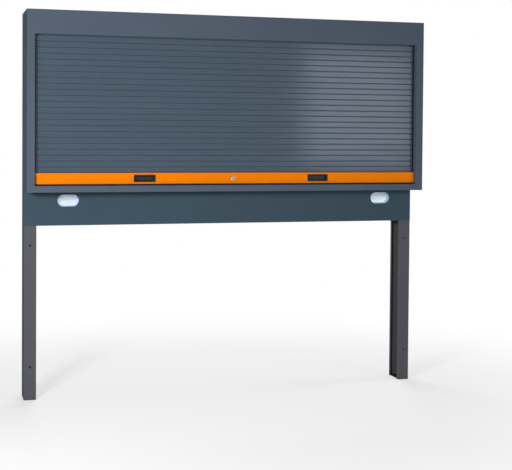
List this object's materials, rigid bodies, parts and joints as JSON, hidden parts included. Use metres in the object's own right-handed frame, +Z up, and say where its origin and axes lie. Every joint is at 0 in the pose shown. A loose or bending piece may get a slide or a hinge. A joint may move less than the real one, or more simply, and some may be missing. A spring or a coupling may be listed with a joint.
{
  "type": "roll front tool cabinet",
  "caption": "Wide, shallow tool cabinet with a slatted roller shutter, finger cups and a lock, over a band with cable ports, on rear uprights that bolt to a bench.",
  "frame": {"origin": "middle of the four bench bolt holes, on the plane of the uprights' front faces", "axes": "+X to the right seen from the front, +Y to the rear, +Z up"},
  "size_m": [1.7, 0.235, 1.585],
  "materials": {
    "frame_paint": "satin blue-grey powder coat on folded sheet steel",
    "slat_paint": "satin blue-grey coating on aluminium profiles",
    "upright_paint": "satin grey powder coat on folded sheet steel",
    "panel_paint": "light grey powder coat on perforated sheet steel",
    "pale_plastic": "pale moulded plastic",
    "bar_paint": "satin orange coating on an aluminium profile",
    "black_plastic": "black moulded plastic and brush fibre",
    "black_rubber": "black rubber",
    "guide_aluminium": "mill-finish aluminium",
    "guide_black": "black anodised aluminium channel",
    "zinc_steel": "zinc-plated steel",
    "lock_chrome": "bright plated lock face"
  },
  "bodies": {
    "cabinet": {"bottom_panel": "frame_paint", "cabinet_screws": "zinc_steel", "cable_port_cups": "pale_plastic", "cross_rails": "upright_paint", "curtain_straps": "black_plastic", "end_stops": "black_rubber", "guide_brushes": "black_plastic", "guide_channel_left": "guide_black", "guide_channel_right": "guide_black", "header_cover": "frame_paint", "lock_keepers": "zinc_steel", "rear_panel": "frame_paint", "roller_axle": "zinc_steel", "roller_bracket_left": "zinc_steel", "roller_bracket_right": "zinc_steel", "side_panel_left": "frame_paint", "side_panel_right": "frame_paint", "slat_01": "slat_paint", "slat_02": "slat_paint", "slat_03": "slat_paint", "slat_04": "slat_paint", "slat_05": "slat_paint", "slat_06": "slat_paint", "slat_07": "slat_paint", "slat_08": "slat_paint", "slat_09": "slat_paint", "slat_10": "slat_paint", "slat_11": "slat_paint", "slat_12": "slat_paint", "slat_13": "slat_paint", "slat_14": "slat_paint", "slat_15": "slat_paint", "slat_16": "slat_paint", "slat_17": "slat_paint", "slat_18": "slat_paint", "slat_19": "slat_paint", "slat_20": "slat_paint", "slat_21": "slat_paint", "slat_22": "slat_paint", "slat_23": "slat_paint", "slat_24": "slat_paint", "spring_cartridge": "zinc_steel", "tool_panel": "panel_paint", "top_panel": "frame_paint", "upright_end_caps": "black_plastic", "upright_left": "upright_paint", "upright_right": "upright_paint"},
    "shutter_bar": {"bottom_bar": "bar_paint", "bottom_seal": "black_rubber", "bar_shoe_left": "black_plastic", "bar_shoe_right": "black_plastic", "handle_cup_left": "black_plastic", "handle_cup_right": "black_plastic", "lock_housing": "lock_chrome"},
    "lock_plug": {"lock_cylinder": "lock_chrome", "lock_cam": "zinc_steel"},
    "left_lock_rod": {"lock_rod_left": "zinc_steel"},
    "right_lock_rod": {"lock_rod_right": "zinc_steel"},
    "roller": {"roller_tube": "guide_aluminium", "roller_bearings": "black_plastic"}
  },
  "joints": [
    {"name": "shutter_slide", "type": "slide", "parent": "cabinet", "child": "shutter_bar", "axis": [0, 0, 1], "range_m": [0, 0.5508], "deforming": ["slat_01", "slat_02", "slat_03", "slat_04", "slat_05", "slat_06", "slat_07", "slat_08", "slat_09", "slat_10", "slat_11", "slat_12", "slat_13", "slat_14", "slat_15", "slat_16", "slat_17", "slat_18", "slat_19", "slat_20", "slat_21", "slat_22", "slat_23", "slat_24", "curtain_straps"]},
    {"name": "roller_spin", "type": "hinge", "parent": "cabinet", "child": "roller", "pos_m": [0, -0.0751, 1.1515], "axis": [-1, 0, 0], "range_deg": [0, 895]},
    {"name": "lock_turn", "type": "hinge", "parent": "shutter_bar", "child": "lock_plug", "pos_m": [0, -0.104, 0.5268], "axis": [0, 1, 0], "range_deg": [0, 90]},
    {"name": "left_rod_slide", "type": "slide", "parent": "shutter_bar", "child": "left_lock_rod", "axis": [-1, 0, 0], "range_m": [0, 0.01]},
    {"name": "right_rod_slide", "type": "slide", "parent": "shutter_bar", "child": "right_lock_rod", "axis": [1, 0, 0], "range_m": [0, 0.01]}
  ],
  "couplings": [
    {"joint": "roller_spin", "follows": "shutter_slide", "rad_per_m": 28.3},
    {"joint": "lock_turn", "follows": "left_rod_slide", "rad_per_m": 157.07},
    {"joint": "right_rod_slide", "follows": "left_rod_slide", "ratio": 1}
  ]
}
